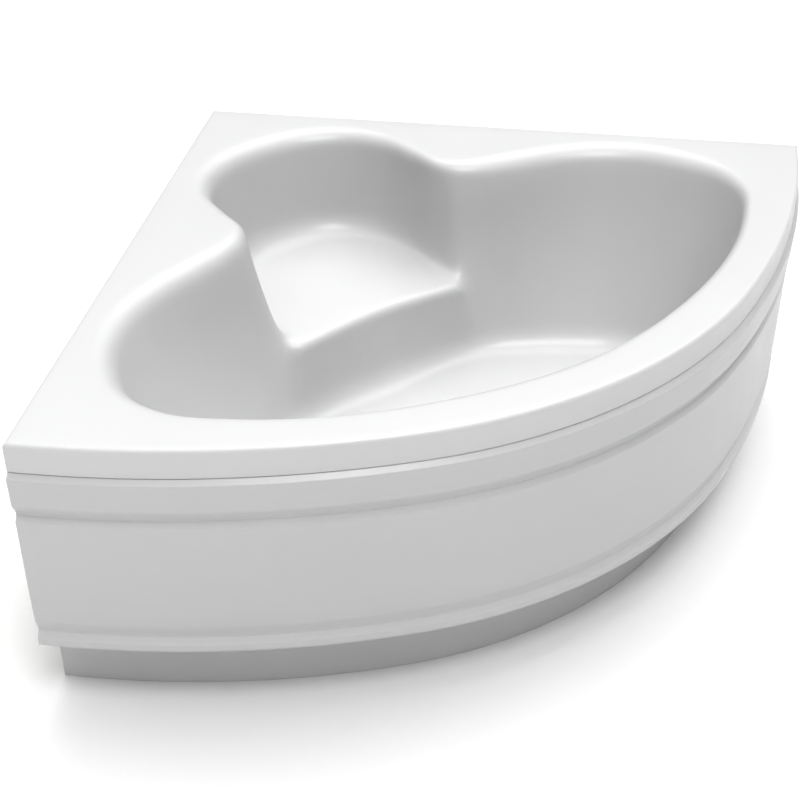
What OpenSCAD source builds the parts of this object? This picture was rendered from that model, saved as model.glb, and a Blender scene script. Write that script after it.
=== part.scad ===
/* [Bath] */
// Length of each straight side of the rim, along a wall
side = 1400; // [1340:10:1460]
// How far the middle of the curved front lies beyond a quarter circle
front_bulge = 68; // [50:2:90]
// Angle of each flatter arc at the two ends of the front
end_arc_angle = 21.8; // [18:0.2:26]
// Height of the rim above the floor of the room
rim_height = 615; // [600:5:640]
// Depth of the well below the rim
basin_depth = 420; // [410:5:435]
// Depth of the corner seat below the rim
seat_drop = 236; // [210:2:260]
// Depth of the downturned edge of the rim
skirt_depth = 59; // [50:1:66]
// Thickness of the acrylic sheet
sheet_t = 5; // [4:0.5:6]
// Thickness of the glass fibre backing
backing_t = 5; // [4:0.5:7]
// Typical size of the soft roll where the rim turns down into the well
rim_roll = 40; // [32:1:44]
// Typical size of the rounding where the walls meet the floor
floor_roll = 60; // [45:1:70]
// Size of the rounding along the seat's front edge
seat_roll = 24; // [18:1:30]
// Size of the cove where the seat meets the wall behind it
seat_cove = 62; // [45:1:70]
// Radius of the outer edge of the rim
edge_r = 8; // [6:0.5:10]

/* [Front panel] */
// Thickness of the moulded panel
panel_t = 4; // [3:0.5:5]
// How far the panel's top ledge stands out past the rim
ledge_out = 9; // [6:0.5:11]
// Width of each sloping ledge
ledge_w = 11; // [8:0.5:12]
// Fall of each sloping ledge
ledge_fall = 9; // [7:0.5:12]
// Distance of the middle ledge below the rim
middle_ledge_drop = 155; // [140:1:175]
// Height of the lower lip, from the top of the toe to the lower ledge
lower_lip_h = 33; // [28:1:40]
// Height of the recessed toe
toe_height = 154; // [145:1:156]
// Depth of the recess at the toe
toe_recess = 80; // [60:2:86]

/* [Frame and feet] */
// Width of the square steel tube
tube_w = 30; // [25:1:32]
// Wall of the square steel tube
tube_wall = 2; // [1.5:0.25:3]
// Thickness of the board bonded under the well
board_t = 15; // [12:1:16]
// Width of the timber battens under the rim
batten_w = 18; // [14:1:20]
// Height of the timber battens under the rim
batten_h = 38; // [30:1:42]
// Radius of the threaded foot studs
stud_r = 6; // [5:0.5:7]
// Radius of the foot pads
pad_r = 25; // [20:1:30]
// Height of the foot pads
pad_h = 16; // [12:1:20]

/* [Waste and overflow] */
// Distance of the waste from the foot of the front wall of the well
waste_setback = 103; // [95:1:115]
// Radius of the waste hole through the bath
waste_hole_r = 27; // [26:0.5:30]
// Outside radius of the waste flange
flange_r = 35; // [34:0.5:40]
// Depth of the overflow's centre below the rim
overflow_drop = 95; // [85:1:110]
// Radius of the overflow hole through the bath
overflow_hole_r = 27; // [26:0.5:29]
// Radius of the overflow's turning knob
knob_r = 34; // [32:0.5:38]
// Outside radius of the outlet pipe
outlet_r = 20; // [16:0.5:22]
// Wall of the plastic waste fittings
pipe_wall = 2.5; // [2:0.25:3]
// Outside radius of the ribbed overflow hose
hose_r = 17; // [14:0.5:19]
// Pitch of the ribs of the overflow hose
hose_pitch = 8; // [7:0.5:12]

/* [Hidden] */
$fn = 48;

// Clearance between pieces that lie on each other
gap = 0.3;
// Running clearance of a shaft in its bore
run_gap = 0.1;
// Overrun of a cut past the face it opens
over = 1;

// Places shared by the whole bath
half = (side + ledge_out) / 2;
floor_z = rim_height - basin_depth;
seat_z = rim_height - seat_drop;
skirt_z = rim_height - skirt_depth;
under_z = floor_z - sheet_t - gap - backing_t;
board_z = under_z - gap - board_t;
rail_z = board_z - gap - tube_w;
rim_under_z = rim_height - sheet_t;
batten_z = rim_under_z - gap - batten_h;
diagonal_share = 1 / sqrt(2);

// The front is three arcs: a flatter one from each wall and a tighter one in the middle
arc_gap = front_bulge / (sqrt(2) * sin(end_arc_angle) + cos(end_arc_angle) - sin(end_arc_angle) - 1);
end_arc_r = side + arc_gap * (cos(end_arc_angle) - sin(end_arc_angle));
mid_arc_r = end_arc_r - arc_gap;
mid_centre = arc_gap * sin(end_arc_angle) * sqrt(2);
end_centre = (side - end_arc_r) * diagonal_share;
join_angle = 45 - end_arc_angle;

// Outline of the well at the rim, from the corner side to the front, as shares of the side.
// Each pair is the distance along the diagonal and the distance across it.
top_shares = [
    [0.174, 0], [0.183, 0.070], [0.219, 0.131], [0.275, 0.167], [0.339, 0.176], [0.397, 0.180], [0.429, 0.203],
    [0.452, 0.246], [0.469, 0.307], [0.488, 0.374], [0.520, 0.438], [0.571, 0.491], [0.632, 0.523], [0.697, 0.535],
    [0.768, 0.510], [0.828, 0.448], [0.878, 0.375], [0.918, 0.294], [0.950, 0.203], [0.973, 0.103], [0.982, 0]
];
// Outline of the well at its floor
floor_shares = [
    [0.516, 0], [0.514, 0.036], [0.513, 0.071], [0.513, 0.107], [0.515, 0.139], [0.520, 0.168], [0.531, 0.194],
    [0.545, 0.222], [0.566, 0.254], [0.592, 0.289], [0.621, 0.326], [0.652, 0.364], [0.691, 0.392], [0.736, 0.400],
    [0.777, 0.381], [0.811, 0.340], [0.839, 0.284], [0.866, 0.219], [0.893, 0.148], [0.913, 0.075], [0.920, 0]
];
// Where the back wall meets the seat, up to the nose that ends it
seat_back_shares = [
    [0.222, 0], [0.228, 0.054], [0.252, 0.104], [0.294, 0.141], [0.348, 0.161], [0.408, 0.170], [0.459, 0.184]
];
// Front edge of the seat, up to the same nose
seat_front_shares = [
    [0.493, 0], [0.494, 0.032], [0.497, 0.064], [0.501, 0.096], [0.505, 0.124], [0.507, 0.152], [0.500, 0.183]
];
// Height of the seat's back and front lines over the seat, as shares of the depth of the seat
seat_back_rise_shares = [0.02, 0.02, 0.02, 0.02, 0.02, 0.06, 0.35];
seat_front_rise_shares = [-0.02, -0.02, -0.02, -0.02, -0.02, -0.03, -0.12];
// How much larger or smaller the roll at the rim is than its typical size
roll_shares = [
    1.1, 1.1, 1.0, 0.9, 0.8, 0.78, 0.82, 0.95, 1.05, 1.0, 0.95, 0.9, 0.9, 0.75, 0.6, 0.52, 0.5, 0.5, 0.5, 0.5, 0.5
];
// Where a plain wall is divided, as shares of its height
wall_upper_share = 0.5;
wall_lower_share = 0.64;
// The wall side of the rim takes this many of the outline's steps
wall_steps = 13;
half_steps = len(top_shares) - 1;
seat_steps = len(seat_back_shares) - 1;
// Points drawn for each step of the outline
fine_steps = 2;

// A point of a closed smooth curve through the points of c
function spline_point(c, i, u) =
    let (n = len(c), a = c[(i + n - 1) % n], b = c[i], d = c[(i + 1) % n], e = c[(i + 2) % n])
    0.5 * (2 * b + (d - a) * u + (2 * a - 5 * b + 4 * d - e) * u * u + (3 * b - a - 3 * d + e) * u * u * u);
function smooth_loop(c) =
    [for (i = [0 : len(c) - 1], k = [0 : fine_steps - 1]) spline_point(c, i, k / fine_steps)];
// The other half of a symmetric outline, and the whole of it
function flip(p) = [p[0], -p[1], p[2]];
function both_halves(h) = concat(h, [for (i = [len(h) - 2 : -1 : 1]) flip(h[i])]);
function both_lists(h) = concat(h, [for (i = [len(h) - 2 : -1 : 1]) h[i]]);
function unit(v) = v / norm(v);
function level(v) = unit([v[0], v[1], 0]);

// Corner points of the well's section at each step: rim, seat back, seat front, floor
function rim_corner(i) = [top_shares[i][0] * side, top_shares[i][1] * side, rim_height];
function floor_corner(i) = [floor_shares[i][0] * side, floor_shares[i][1] * side, floor_z];
function wall_point(i, share) = rim_corner(i) + (floor_corner(i) - rim_corner(i)) * share;
function seat_corner(i, places, rises, share) = i > seat_steps
    ? wall_point(i, share)
    : [places[i][0] * side, places[i][1] * side, seat_z + rises[i] * seat_drop];
front_top = rim_corner(half_steps);
front_foot = floor_corner(half_steps);
waste_reach = front_foot[0] - waste_setback;
rim_loop = smooth_loop(both_halves([for (i = [0 : half_steps]) rim_corner(i)]));
seat_back_loop = smooth_loop(both_halves([for (i = [0 : half_steps])
    seat_corner(i, seat_back_shares, seat_back_rise_shares, wall_upper_share)]));
seat_front_loop = smooth_loop(both_halves([for (i = [0 : half_steps])
    seat_corner(i, seat_front_shares, seat_front_rise_shares, wall_lower_share)]));
floor_loop = smooth_loop(both_halves([for (i = [0 : half_steps]) floor_corner(i)]));
roll_loop = smooth_loop(both_lists([for (s = roll_shares) s * rim_roll]));
around = len(rim_loop);

// A soft corner at b between the lines to a and c, starting r from it
function soft(a, b, c, r, u) =
    let (p = b + unit(a - b) * r, q = b + unit(c - b) * r)
    p * (1 - u) * (1 - u) + b * 2 * u * (1 - u) + q * u * u;
rim_turns = [0, 0.2, 0.4, 0.6, 0.8, 1];
seat_turns = [0, 0.33, 0.67, 1];
cove_turns = [0, 0.25, 0.5, 0.75, 1];
floor_turns = [0, 0.25, 0.5, 0.75, 1];
floor_middle = [mid_centre + mid_arc_r * 0.5, 0, floor_z];
// The well's section at point j of the outline, from the flat of the rim to the flat of the floor
function section(j) =
    let (
        a = rim_loop[j], b = seat_back_loop[j], c = seat_front_loop[j], d = floor_loop[j],
        out = a + level(a - b) * rim_roll * 2,
        inner = d + level(floor_middle - d) * floor_roll * 2,
        r_seat = min(seat_roll, norm(c - b) * 0.45),
        r_cove = min(seat_cove, norm(c - b) * 0.45)
    )
    concat(
        [for (u = rim_turns) soft(out, a, b, roll_loop[j], u)],
        [for (u = cove_turns) soft(a, b, c, r_cove, u)],
        [for (u = seat_turns) soft(b, c, d, r_seat, u)],
        [for (u = floor_turns) soft(c, d, inner, floor_roll, u)]
    );
well = [for (j = [0 : around - 1]) section(j)];
well_rows = len(well[0]);
// Direction square to the well's surface, towards the bather
function well_normal(j, k) =
    k == 0 || k == well_rows - 1 ? [0, 0, 1]
    : unit(cross(
        well[j][k + 1] - well[j][k - 1],
        well[(j + 1) % around][k] - well[(j + around - 1) % around][k]
    ));
normals = [for (j = [0 : around - 1]) [for (k = [0 : well_rows - 1]) well_normal(j, k)]];
// The well's surface moved outwards by d
function well_row(k, d) = [for (j = [0 : around - 1]) well[j][k] - normals[j][k] * d];

// A point of the front, at angle a from the diagonal, off outside the rim
function front_point(a, off) = a >= join_angle
    ? [end_centre + (end_arc_r + off) * cos(a), end_centre + (end_arc_r + off) * sin(a)]
    : [mid_centre + (mid_arc_r + off) * cos(a), (mid_arc_r + off) * sin(a)];
end_arc_length = end_arc_r * end_arc_angle;
mid_arc_length = mid_arc_r * join_angle;
function front_angle(v) =
    let (l = v * (end_arc_length + mid_arc_length))
    l <= end_arc_length ? 45 - l / end_arc_r : join_angle - (l - end_arc_length) / mid_arc_r;
// The rim's outline at point i of one half, moved in by d, in step with the well's outline
function rim_point(i, d) =
    i <= wall_steps * fine_steps
    ? let (l = d + (side - 2 * d) * i / (wall_steps * fine_steps))
        [(l + d) * diagonal_share, (l - d) * diagonal_share]
    : front_point(front_angle((i - wall_steps * fine_steps) / ((half_steps - wall_steps) * fine_steps)), -d);
function rim_row(d, z) = [for (p = both_halves([for (i = [0 : half_steps * fine_steps])
    let (q = rim_point(i, d)) [i == 0 ? d * sqrt(2) : q[0], i == 0 ? 0 : q[1], z]])) p];

// A closed solid from rows of points: each row a ring of as many points, the last joined to the first
module ring_solid(rows) {
    n = len(rows[0]);
    points = [for (r = rows, p = r) p];
    faces = [for (k = [0 : len(rows) - 1], j = [0 : n - 1])
        let (m = (k + 1) % len(rows), i = (j + 1) % n)
        each [[k * n + j, m * n + j, m * n + i], [k * n + j, m * n + i, k * n + i]]];
    polyhedron(points = points, faces = faces);
}
// A closed solid from rows of points, with flat first and last rows
module capped_solid(rows) {
    n = len(rows[0]);
    points = concat([for (r = rows, p = r) p], [mean(rows[0]), mean(rows[len(rows) - 1])]);
    first = len(rows) * n;
    faces = concat(
        [for (k = [0 : len(rows) - 2], j = [0 : n - 1])
            let (i = (j + 1) % n)
            each [[k * n + j, (k + 1) * n + j, (k + 1) * n + i], [k * n + j, (k + 1) * n + i, k * n + i]]],
        [for (j = [0 : n - 1]) [first, j, (j + 1) % n]],
        [for (j = [0 : n - 1]) [first + 1, (len(rows) - 1) * n + (j + 1) % n, (len(rows) - 1) * n + j]]
    );
    polyhedron(points = points, faces = faces);
}
function sum(v, i = 0) = i == len(v) - 1 ? v[i] : v[i] + sum(v, i + 1);
function mean(v) = sum(v) / len(v);

// The model is drawn with the room corner at the left back of its box, and the diagonal runs to the front right
module in_corner() { translate([-half, half, 0]) children(); }
module on_diagonal() { in_corner() rotate([0, 0, -45]) children(); }
module at_waste() { on_diagonal() translate([waste_reach, 0, 0]) children(); }
// Left and right copies of something drawn on one side of the diagonal
module on_side(s) { on_diagonal() if (s > 0) children(); else mirror([0, 1, 0]) children(); }

// The wall of the well at the front, where the overflow goes through
wall_lean = atan((front_top[0] - front_foot[0]) / basin_depth);
overflow_z = rim_height - overflow_drop;
overflow_reach = front_top[0] - overflow_drop * tan(wall_lean);
wall_depth = sheet_t + gap + backing_t;
// Drawn with +Z pointing into the well, square to the wall
module at_overflow() {
    on_diagonal() translate([overflow_reach, 0, overflow_z]) rotate([0, wall_lean - 90, 0]) children();
}
module ring(r_out, r_in, z, h) {
    translate([0, 0, z]) difference() {
        cylinder(h = h, r = r_out);
        translate([0, 0, -over]) cylinder(h = h + 2 * over, r = r_in);
    }
}

// Bath

module well_holes() {
    at_waste() translate([0, 0, under_z - over]) cylinder(h = wall_depth + 2 * over, r = waste_hole_r);
    at_overflow() translate([0, 0, -2 * wall_depth]) cylinder(h = 3 * wall_depth, r = overflow_hole_r);
}
edge_turns = [0, 0.5, 1];
module bath_shell() {
    outside = concat(
        [rim_row(0, skirt_z)],
        [for (u = edge_turns) rim_row(edge_r * (1 - cos(90 * u)), rim_height - edge_r * (1 - sin(90 * u)))]
    );
    inside = [rim_row(sheet_t, rim_under_z), rim_row(sheet_t, skirt_z)];
    rows = concat(
        outside,
        [for (k = [0 : well_rows - 1]) well_row(k, 0)]
    );
    back_rows = concat(
        [for (k = [well_rows - 1 : -1 : 0]) well_row(k, sheet_t)],
        inside
    );
    color("white") difference() {
        on_diagonal() shell_solid(rows, back_rows);
        well_holes();
    }
}
// A sheet with a closed floor: rows run down the top face, and back_rows return along the under face
module shell_solid(rows, back_rows) {
    n = len(rows[0]);
    all_rows = concat(rows, back_rows);
    last = len(rows) - 1;
    points = concat([for (r = all_rows, p = r) p], [mean(rows[last]), mean(back_rows[0])]);
    first = len(all_rows) * n;
    faces = concat(
        [for (k = [0 : len(all_rows) - 1], j = [0 : n - 1]) if (k != last)
            let (m = (k + 1) % len(all_rows), i = (j + 1) % n)
            each k < last
                ? [[k * n + j, m * n + j, m * n + i], [k * n + j, m * n + i, k * n + i]]
                : [[k * n + j, m * n + j, k * n + i], [m * n + j, m * n + i, k * n + i]]],
        [for (j = [0 : n - 1]) [first, (last) * n + (j + 1) % n, (last) * n + j]],
        [for (j = [0 : n - 1]) [first + 1, (last + 1) * n + j, (last + 1) * n + (j + 1) % n]]
    );
    polyhedron(points = points, faces = faces);
}
// The backing starts this many rows in from the flat of the rim
backing_start = 2;
module glassfibre_backing() {
    rows = [for (k = [backing_start : well_rows - 1]) well_row(k, sheet_t + gap)];
    back_rows = [for (k = [well_rows - 1 : -1 : backing_start]) well_row(k, wall_depth)];
    color("tan") difference() {
        on_diagonal() shell_solid(rows, back_rows);
        well_holes();
    }
}
// Share of the floor's outline that the board covers
board_share = 0.86;
// Room left around the waste
cutout_gap = 14;
waste_cutout_r = flange_r + cutout_gap;
board_centre = (floor_corner(0)[0] + front_foot[0]) / 2;
module base_board() {
    outline = [for (p = floor_loop) [board_centre + (p[0] - board_centre) * board_share, p[1] * board_share]];
    color("peru") difference() {
        on_diagonal() translate([0, 0, board_z]) linear_extrude(height = board_t) polygon(outline);
        on_diagonal() screw_holes();
        at_waste() translate([0, 0, board_z - over]) cylinder(h = board_t + 2 * over, r = waste_cutout_r);
    }
}
seat_board_w = 240;
seat_board_l = 200;
seat_board_t = 12;
seat_board_share = 0.338;
seat_board_reach = seat_board_share * side;
seat_board_z = seat_z + seat_front_rise_shares[0] * seat_drop - wall_depth - seat_board_t - 2 * gap;
module seat_board() {
    color("peru") on_diagonal()
        translate([seat_board_reach - seat_board_l / 2, -seat_board_w / 2, seat_board_z])
            cube([seat_board_l, seat_board_w, seat_board_t]);
}
// Distance from the skirt to the end of a wall batten
batten_start = sheet_t + gap;
batten_end = side - toe_recess - 2 * tube_w;
module rim_batten_left() {
    color("burlywood") in_corner()
        translate([batten_start, -batten_end, batten_z])
            cube([batten_w, batten_end - batten_start - batten_w - gap, batten_h]);
}
module rim_batten_back() {
    color("burlywood") in_corner()
        translate([batten_start, -batten_start - batten_w, batten_z])
            cube([batten_end - batten_start, batten_w, batten_h]);
}
// A profile swept along part of the front; the profile is drawn off the rim's edge and upwards
module sweep_arc(centre_s, centre_t, r, from, to) {
    translate([centre_s, centre_t, 0]) rotate([0, 0, from])
        rotate_extrude(angle = to - from) translate([r, 0]) children();
}
// The middle arc stops a hair short of the end arcs, and ribs behind each seam join them
seam = 0.01;
module along_front() {
    on_diagonal() union() {
        sweep_arc(mid_centre, 0, mid_arc_r, seam - join_angle, join_angle - seam) children();
        sweep_arc(end_centre, end_centre, end_arc_r, join_angle, 45) children();
        sweep_arc(end_centre, -end_centre, end_arc_r, -45, -join_angle) children();
    }
}
module along_front_middle(reach) {
    on_diagonal() sweep_arc(mid_centre, 0, mid_arc_r, -reach, reach) children();
}
front_batten_out = sheet_t + 5 * gap;
front_batten_w = 44;
module rim_batten_front() {
    color("burlywood") along_front_middle(join_angle)
        translate([-front_batten_out - front_batten_w, batten_z]) square([front_batten_w, batten_h]);
}

// Frame

post_inset = tube_w;
post_reach = (post_inset + batten_end) * diagonal_share;
post_across = (batten_end - post_inset) * diagonal_share;
corner_post_reach = post_inset * 1.5;
arm_across = 300;
// How far the front arms run past the foot of the front wall
arm_overhang = 2;
arm_end = front_foot[0] + arm_overhang;
seat_foot_share = 0.43;
seat_foot_reach = seat_foot_share * side;
front_foot_reach = arm_end - tube_w;
seat_strut_reach = seat_board_reach;
spine_end = post_reach + tube_w * 3;
hole_r = stud_r + run_gap;
// A square tube along X, resting on z = 0
module tube_x(l) {
    difference() {
        translate([0, -tube_w / 2, 0]) cube([l, tube_w, tube_w]);
        translate([-over, tube_wall - tube_w / 2, tube_wall])
            cube([l + 2 * over, tube_w - 2 * tube_wall, tube_w - 2 * tube_wall]);
    }
}
// A square tube standing up, with its foot at z = 0
module tube_z(l) {
    difference() {
        translate([-tube_w / 2, -tube_w / 2, 0]) cube([tube_w, tube_w, l]);
        translate([tube_wall - tube_w / 2, tube_wall - tube_w / 2, -over])
            cube([tube_w - 2 * tube_wall, tube_w - 2 * tube_wall, l + 2 * over]);
    }
}
module stud_hole(x) { translate([x, 0, -over]) cylinder(h = tube_w / 2 + over, r = hole_r); }
module spine_rail() {
    start = corner_post_reach + tube_w / 2;
    color("silver") on_diagonal() difference() {
        translate([start, 0, rail_z]) tube_x(spine_end - start);
        translate([0, 0, rail_z]) stud_hole(seat_foot_reach);
        screw_holes();
    }
}
module cross_rail(s) {
    start = tube_w / 2;
    color("silver") on_side(s) difference() {
        translate([post_reach, start, rail_z]) rotate([0, 0, 90]) tube_x(post_across - tube_w / 2 - start);
        screw_holes();
    }
}
module cross_rail_left() { cross_rail(-1); }
module cross_rail_right() { cross_rail(1); }
module front_arm(s) {
    start = post_reach + tube_w / 2;
    color("silver") on_side(s) difference() {
        translate([start, arm_across, rail_z]) tube_x(arm_end - start);
        translate([0, arm_across, rail_z]) stud_hole(front_foot_reach);
        screw_holes();
    }
}
module front_arm_left() { front_arm(-1); }
module front_arm_right() { front_arm(1); }
// A post stands on its foot and carries the batten under the rim
post_z = 58;
post_plug_h = 12;
module post(x, y) {
    translate([x, y, post_z]) difference() {
        union() {
            tube_z(batten_z - gap - post_z);
            translate([-tube_w / 2, -tube_w / 2, 0]) cube([tube_w, tube_w, post_plug_h]);
        }
        translate([0, 0, -over]) cylinder(h = post_plug_h + 2 * over, r = hole_r);
    }
}
module corner_post() { color("silver") on_diagonal() post(corner_post_reach, 0); }
module left_post() { color("silver") on_diagonal() post(post_reach, -post_across); }
module right_post() { color("silver") on_diagonal() post(post_reach, post_across); }
// Leaning struts from the front arms up to the front batten
strut_w = 20;
strut_foot_reach = arm_end - tube_w / 2;
strut_top_out = 40;
strut_top_reach = mid_centre + sqrt(pow(mid_arc_r - strut_top_out, 2) - arm_across * arm_across);
strut_rise = batten_z - gap - rail_z - tube_w;
strut_lean = atan((strut_top_reach - strut_foot_reach) / strut_rise);
module front_strut(s) {
    l = strut_rise / cos(strut_lean) + strut_w;
    color("silver") on_side(s) intersection() {
        translate([strut_foot_reach, arm_across, rail_z + tube_w]) rotate([0, strut_lean, 0]) difference() {
            translate([-strut_w / 2, -strut_w / 2, -strut_w]) cube([strut_w, strut_w, l + strut_w]);
            translate([tube_wall - strut_w / 2, tube_wall - strut_w / 2, -strut_w - over])
                cube([strut_w - 2 * tube_wall, strut_w - 2 * tube_wall, l + strut_w + 2 * over]);
        }
        translate([0, arm_across - strut_w, rail_z + tube_w + gap])
            cube([side + front_bulge, 2 * strut_w, strut_rise - gap]);
    }
}
module front_strut_left() { front_strut(-1); }
module front_strut_right() { front_strut(1); }
module seat_strut() {
    z = rail_z + tube_w;
    color("silver") on_diagonal() translate([seat_strut_reach, 0, z]) tube_z(seat_board_z - gap - z);
}

// Fasteners and feet

feet = [
    ["corner", corner_post_reach, 0], ["left", post_reach, -post_across], ["right", post_reach, post_across],
    ["seat", seat_foot_reach, 0], ["front_left", front_foot_reach, -arm_across],
    ["front_right", front_foot_reach, arm_across]
];
nut_r = stud_r * 1.85;
nut_h = stud_r * 1.6;
// Height of the underside that each foot screws into
function foot_socket_z(i) = i < 3 ? post_z : rail_z;
module nut(z) {
    translate([0, 0, z]) difference() {
        cylinder(h = nut_h, r = nut_r, $fn = 6);
        translate([0, 0, -over]) cylinder(h = nut_h + 2 * over, r = hole_r);
    }
}
module weld_nuts() {
    color("gainsboro") on_diagonal() for (i = [0 : len(feet) - 1])
        translate([feet[i][1], feet[i][2], 0]) nut(foot_socket_z(i) - nut_h);
}
module lock_nuts() {
    color("gainsboro") on_diagonal() for (i = [0 : len(feet) - 1])
        translate([feet[i][1], feet[i][2], 0]) nut(foot_socket_z(i) - 2 * nut_h - gap);
}
module foot_stud(i) {
    z0 = pad_h * 0.4;
    top = foot_socket_z(i) + (i < 3 ? 2 * post_plug_h : tube_w - tube_wall - 2.5 * stud_r);
    color("gainsboro") on_diagonal() translate([feet[i][1], feet[i][2], z0]) cylinder(h = top - z0, r = stud_r);
}
module foot_stud_corner() { foot_stud(0); }
module foot_stud_left() { foot_stud(1); }
module foot_stud_right() { foot_stud(2); }
module foot_stud_seat() { foot_stud(3); }
module foot_stud_front_left() { foot_stud(4); }
module foot_stud_front_right() { foot_stud(5); }
module foot_pad(i) {
    color("dimgray") on_diagonal() translate([feet[i][1], feet[i][2], 0]) difference() {
        rotate_extrude() polygon([
            [0, 0], [pad_r, 0], [pad_r, pad_h * 0.3], [pad_r * 0.88, pad_h * 0.5],
            [nut_r * 1.1, pad_h * 0.75], [nut_r * 1.1, pad_h], [0, pad_h]
        ]);
        translate([0, 0, pad_h * 0.4]) cylinder(h = pad_h, r = stud_r);
    }
}
module foot_pad_corner() { foot_pad(0); }
module foot_pad_left() { foot_pad(1); }
module foot_pad_right() { foot_pad(2); }
module foot_pad_seat() { foot_pad(3); }
module foot_pad_front_left() { foot_pad(4); }
module foot_pad_front_right() { foot_pad(5); }
screw_r = 2.5;
screw_head_r = 5;
screw_head_h = 3;
screw_pitch = 80;
spine_screw_in = 60;
rail_screw_in = 90;
rail_screw_out = rail_screw_in + screw_pitch;
screw_places = [
    [board_centre - spine_screw_in - screw_pitch, 0], [board_centre - spine_screw_in, 0],
    [post_reach, -rail_screw_out], [post_reach, rail_screw_out],
    [post_reach, -rail_screw_in], [post_reach, rail_screw_in],
    [post_reach + rail_screw_in, -arm_across], [post_reach + rail_screw_in, arm_across],
    [post_reach + rail_screw_out, -arm_across], [post_reach + rail_screw_out, arm_across]
];
screw_bite = board_t * 0.8;
// Each screw goes up through a rail into the board, and its head bears on the rail from below
module screw_holes() {
    for (p = screw_places) translate([p[0], p[1], rail_z - over])
        cylinder(h = tube_w + gap + screw_bite + over, r = screw_r + run_gap / 2);
}
module board_screws() {
    color("gainsboro") on_diagonal() for (p = screw_places) translate([p[0], p[1], rail_z - screw_head_h])
        union() {
            cylinder(h = screw_head_h, r = screw_head_r);
            cylinder(h = screw_head_h + tube_w + gap + screw_bite * 0.9, r = screw_r);
        }
}
magnet_w = 14;
magnet_l = 40;
magnet_out = -24;
strike_t = 1.2;
panel_top_gap = 1;
strike_top = skirt_z - panel_top_gap + strike_t;
magnet_angles = [-10, 0, 10];
// A block along the front, off the rim's edge by x, at the three catches
module at_catches() {
    on_diagonal() for (a = magnet_angles) translate([mid_centre, 0, 0]) rotate([0, 0, a])
        translate([mid_arc_r + magnet_out, 0, 0]) children();
}
module magnet_catches() {
    color("dimgray") at_catches() translate([0, -magnet_l / 2, strike_top + gap])
        cube([magnet_w, magnet_l, batten_z - strike_top - gap]);
}
// Steel angle that holds a rim batten to the wall, screwed through its two holes
hanger_t = 3;
hanger_w = 60;
hanger_h = 60;
hanger_leg = batten_start + batten_w;
hanger_hole_r = 3.5;
module wall_hanger() {
    top = skirt_z - gap;
    difference() {
        union() {
            translate([0, -hanger_w / 2, top - hanger_h]) cube([hanger_t, hanger_w, hanger_h]);
            translate([0, -hanger_w / 2, top - hanger_t]) cube([hanger_leg, hanger_w, hanger_t]);
            translate([hanger_leg - hanger_t, -hanger_w / 2, top - hanger_t])
                cube([hanger_t, hanger_w, batten_z - top + hanger_t]);
            translate([batten_start + gap, -hanger_w / 2, batten_z - hanger_t])
                cube([hanger_leg - batten_start - gap, hanger_w, hanger_t]);
        }
        for (e = [-1, 1]) translate([-over, e * hanger_w / 4, top - hanger_h / 2]) rotate([0, 90, 0])
            cylinder(h = hanger_t + 2 * over, r = hanger_hole_r);
    }
}
module wall_hanger_left() {
    color("gainsboro") in_corner() translate([0, -side / 2, 0]) wall_hanger();
}
module wall_hanger_back() {
    color("gainsboro") in_corner() mirror([1, 1, 0]) translate([0, -side / 2, 0]) wall_hanger();
}

// Waste

washer_t = 1.8;
// How far the washers lie in from the rim of the flange
washer_in = 1;
// Room between a hole in the bath and the neck that goes through it
neck_gap = 2;
neck_r = waste_hole_r - neck_gap;
neck_in_r = neck_r - pipe_wall;
flange_z = floor_z + 2 * gap + washer_t;
flange_t = 3.4;
body_top = under_z - gap - washer_t - gap;
body_fit = 0.5;
body_wall_r = neck_r + body_fit + pipe_wall;
body_rim_t = 4;
body_cone_h = 8;
body_floor_t = 3;
// Places of the waste fittings, each as its distance below the floor of the well
guide_drop = 29;
stem_drop = 45;
inlet_drop = 50;
body_drop = 67;
trap_drop = 76;
pipe_drop = 80;
body_foot = floor_z - body_drop;
inlet_z = floor_z - inlet_drop;
spigot_r = outlet_r;
spigot_in = 20;
trap_in_r = outlet_r + run_gap;
trap_r = trap_in_r + pipe_wall;
pipe_z = floor_z - pipe_drop;
trap_turn_r = 28;
trap_out_turn_r = 26;
trap_top = floor_z - trap_drop;
stem_r = 3;
plug_lift = 10;
plug_r = 30;
guide_z = floor_z - guide_drop;
guide_h = 9;
// Thickness of the webs that hold the stem's guide and the knob's hub
web_t = 3;
lever_reach = 16;
lever_angle = 18;
lever_tip_r = 2.5;
lever_pin_r = 2;
boss_l = 8;
stem_foot = floor_z - stem_drop;
pivot_z = stem_foot - gap - lever_tip_r + lever_reach * sin(lever_angle);
module waste_top_washer() {
    color("dimgray") at_waste() ring(flange_r - washer_in, neck_r + gap, floor_z + gap, washer_t);
}
module waste_bottom_washer() {
    color("dimgray") at_waste() ring(flange_r - washer_in, neck_r + gap, under_z - gap - washer_t, washer_t);
}
module waste_flange() {
    color("silver") at_waste() difference() {
        union() {
            rotate_extrude() polygon([
                [neck_in_r, guide_z], [neck_r, guide_z], [neck_r, flange_z], [flange_r, flange_z],
                [flange_r, flange_z + flange_t * 0.4], [flange_r * 0.94, flange_z + flange_t * 0.85],
                [flange_r * 0.86, flange_z + flange_t], [neck_r, flange_z + flange_t],
                [neck_in_r, flange_z + flange_t * 0.6]
            ]);
            translate([0, 0, guide_z]) cylinder(h = guide_h, r = 2.2 * stem_r);
            for (a = [0, 90]) rotate([0, 0, a]) translate([-neck_in_r - pipe_wall / 2, -web_t / 2, guide_z])
                cube([2 * neck_in_r + pipe_wall, web_t, guide_h * 0.7]);
        }
        translate([0, 0, guide_z - over]) cylinder(h = guide_h + 2 * over, r = stem_r + run_gap);
    }
}
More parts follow.
